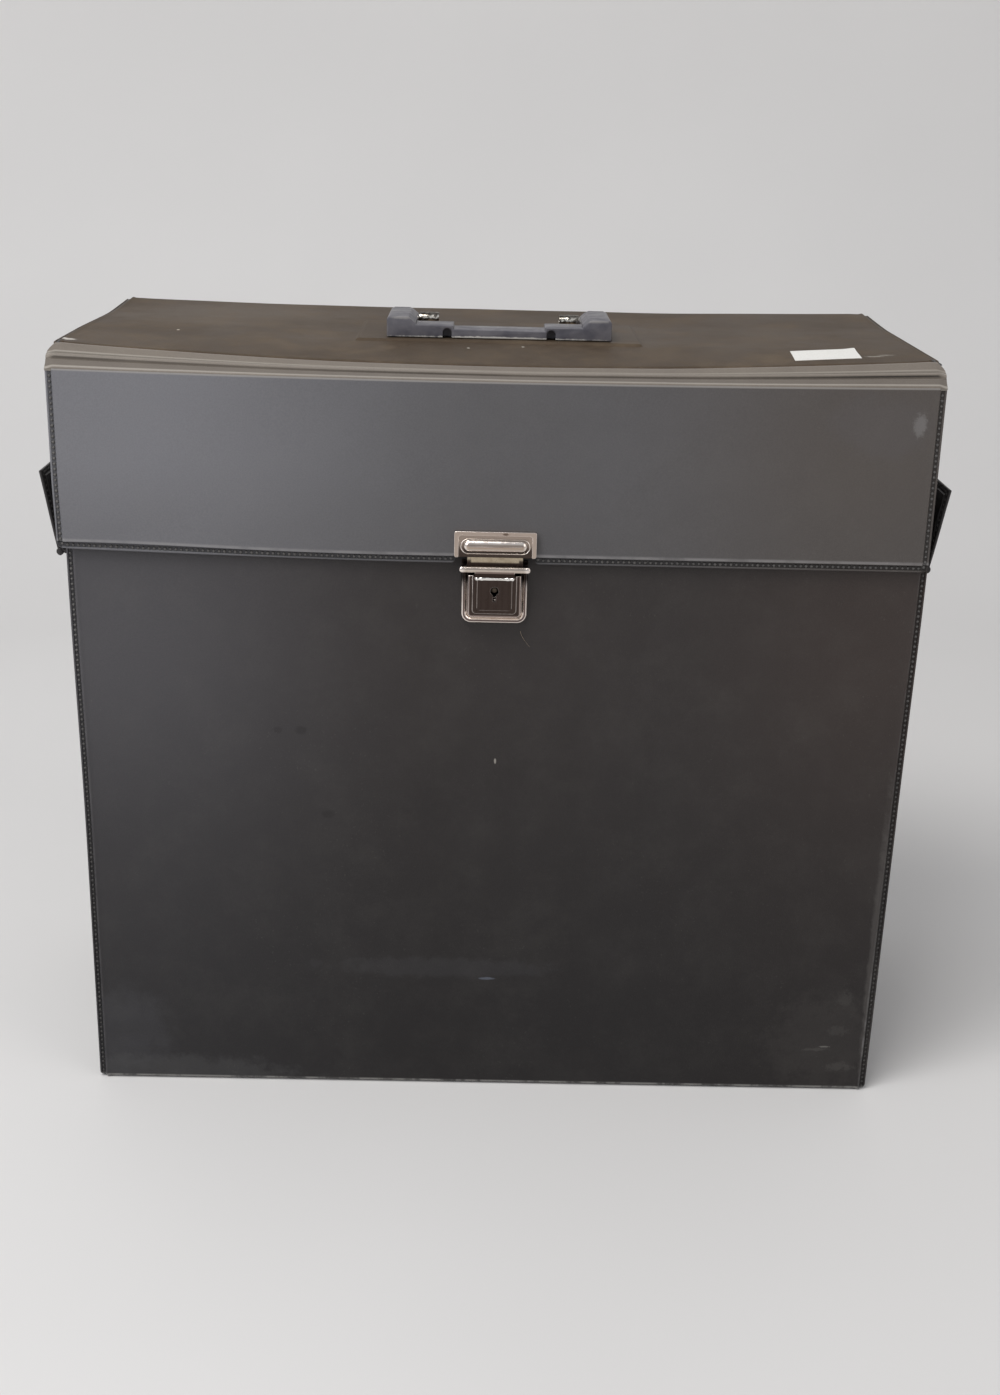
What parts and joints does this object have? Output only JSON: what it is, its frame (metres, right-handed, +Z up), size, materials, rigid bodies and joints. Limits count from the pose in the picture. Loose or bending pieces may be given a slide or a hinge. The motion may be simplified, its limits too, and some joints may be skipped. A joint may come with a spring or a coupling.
{
  "type": "record case",
  "caption": "Upright vinyl-covered board case for twelve-inch records, with a soft-hinged lid and drop flap, folding handle, side ears and a sliding lock.",
  "frame": {"origin": "centre of the base's underside, on the surface that the case stands on", "axes": "+Z up, +X to the right seen from the front, the lock and flap face -Y"},
  "size_m": [0.37, 0.1696, 0.3314],
  "materials": {
    "vinyl_body": "grained welded vinyl, satin",
    "vinyl_lid": "grained welded vinyl, dusty",
    "vinyl_flap": "grained welded vinyl, slight sheen",
    "chipboard": "raw grey-brown board",
    "lining": "matt lining sheet",
    "handle_plastic": "moulded, satin",
    "nickel": "polished nickel plate",
    "steel": "bright steel",
    "brass": "dull brass"
  },
  "bodies": {
    "case_body": {"wrap_cover": "vinyl_body", "front_board": "chipboard", "base_board": "chipboard", "back_board": "chipboard", "wrap_lining": "lining", "side_cover_left": "vinyl_body", "side_cover_right": "vinyl_body", "side_board_left": "chipboard", "side_board_right": "chipboard", "side_lining_left": "lining", "side_lining_right": "lining", "ear_strip_left": "vinyl_body", "ear_strip_right": "vinyl_body", "lock_base_plate": "nickel", "lock_backplate": "steel", "lock_rivets": "steel", "lock_springs": "steel", "key_post": "brass"},
    "lid": {"lid_cover": "vinyl_lid", "lid_board": "chipboard", "lid_lining": "lining", "handle_stiffener": "chipboard", "handle_bracket_left": "steel", "handle_bracket_right": "steel", "bracket_rivets": "steel", "rivet_washers": "steel"},
    "flap": {"flap_cover": "vinyl_flap", "flap_board": "chipboard", "flap_lining": "lining", "hasp_plate": "nickel", "hasp_tongue": "steel", "hasp_rivets": "steel", "hasp_backplate": "steel"},
    "handle": {"handle_grip": "handle_plastic", "handle_pins": "steel"},
    "ear_left": {"ear_cover_left": "vinyl_body", "ear_board_left": "chipboard"},
    "ear_right": {"ear_cover_right": "vinyl_body", "ear_board_right": "chipboard"},
    "slider": {"lock_slider": "nickel"},
    "cam": {"key_cam": "brass"}
  },
  "joints": [
    {"name": "lid_hinge", "type": "hinge", "parent": "case_body", "child": "lid", "pos_m": [0, 0.076, 0.318], "axis": [-1, 0, 0], "range_deg": [0, 170]},
    {"name": "flap_hinge", "type": "hinge", "parent": "lid", "child": "flap", "pos_m": [0, -0.079, 0.31775], "axis": [-1, 0, 0], "range_deg": [0, 165]},
    {"name": "handle_pivot", "type": "hinge", "parent": "lid", "child": "handle", "pos_m": [0, 0.001, 0.3271], "axis": [-1, 0, 0], "range_deg": [0, 95]},
    {"name": "ear_left_fold", "type": "hinge", "parent": "case_body", "child": "ear_left", "pos_m": [-0.1772, 0, 0.2386], "axis": [0, -1, 0], "range_deg": [-20, 165]},
    {"name": "ear_right_fold", "type": "hinge", "parent": "case_body", "child": "ear_right", "pos_m": [0.1772, 0, 0.2386], "axis": [0, 1, 0], "range_deg": [-20, 165]},
    {"name": "lock_slide", "type": "slide", "parent": "case_body", "child": "slider", "axis": [0, 0, -1], "range_m": [0, 0.0034], "stiffness_N_per_m": 400, "deforming": ["lock_springs"]},
    {"name": "key_turn", "type": "hinge", "parent": "case_body", "child": "cam", "pos_m": [0, -0.081, 0.2306], "axis": [0, 1, 0], "range_deg": [-90, 0]}
  ]
}
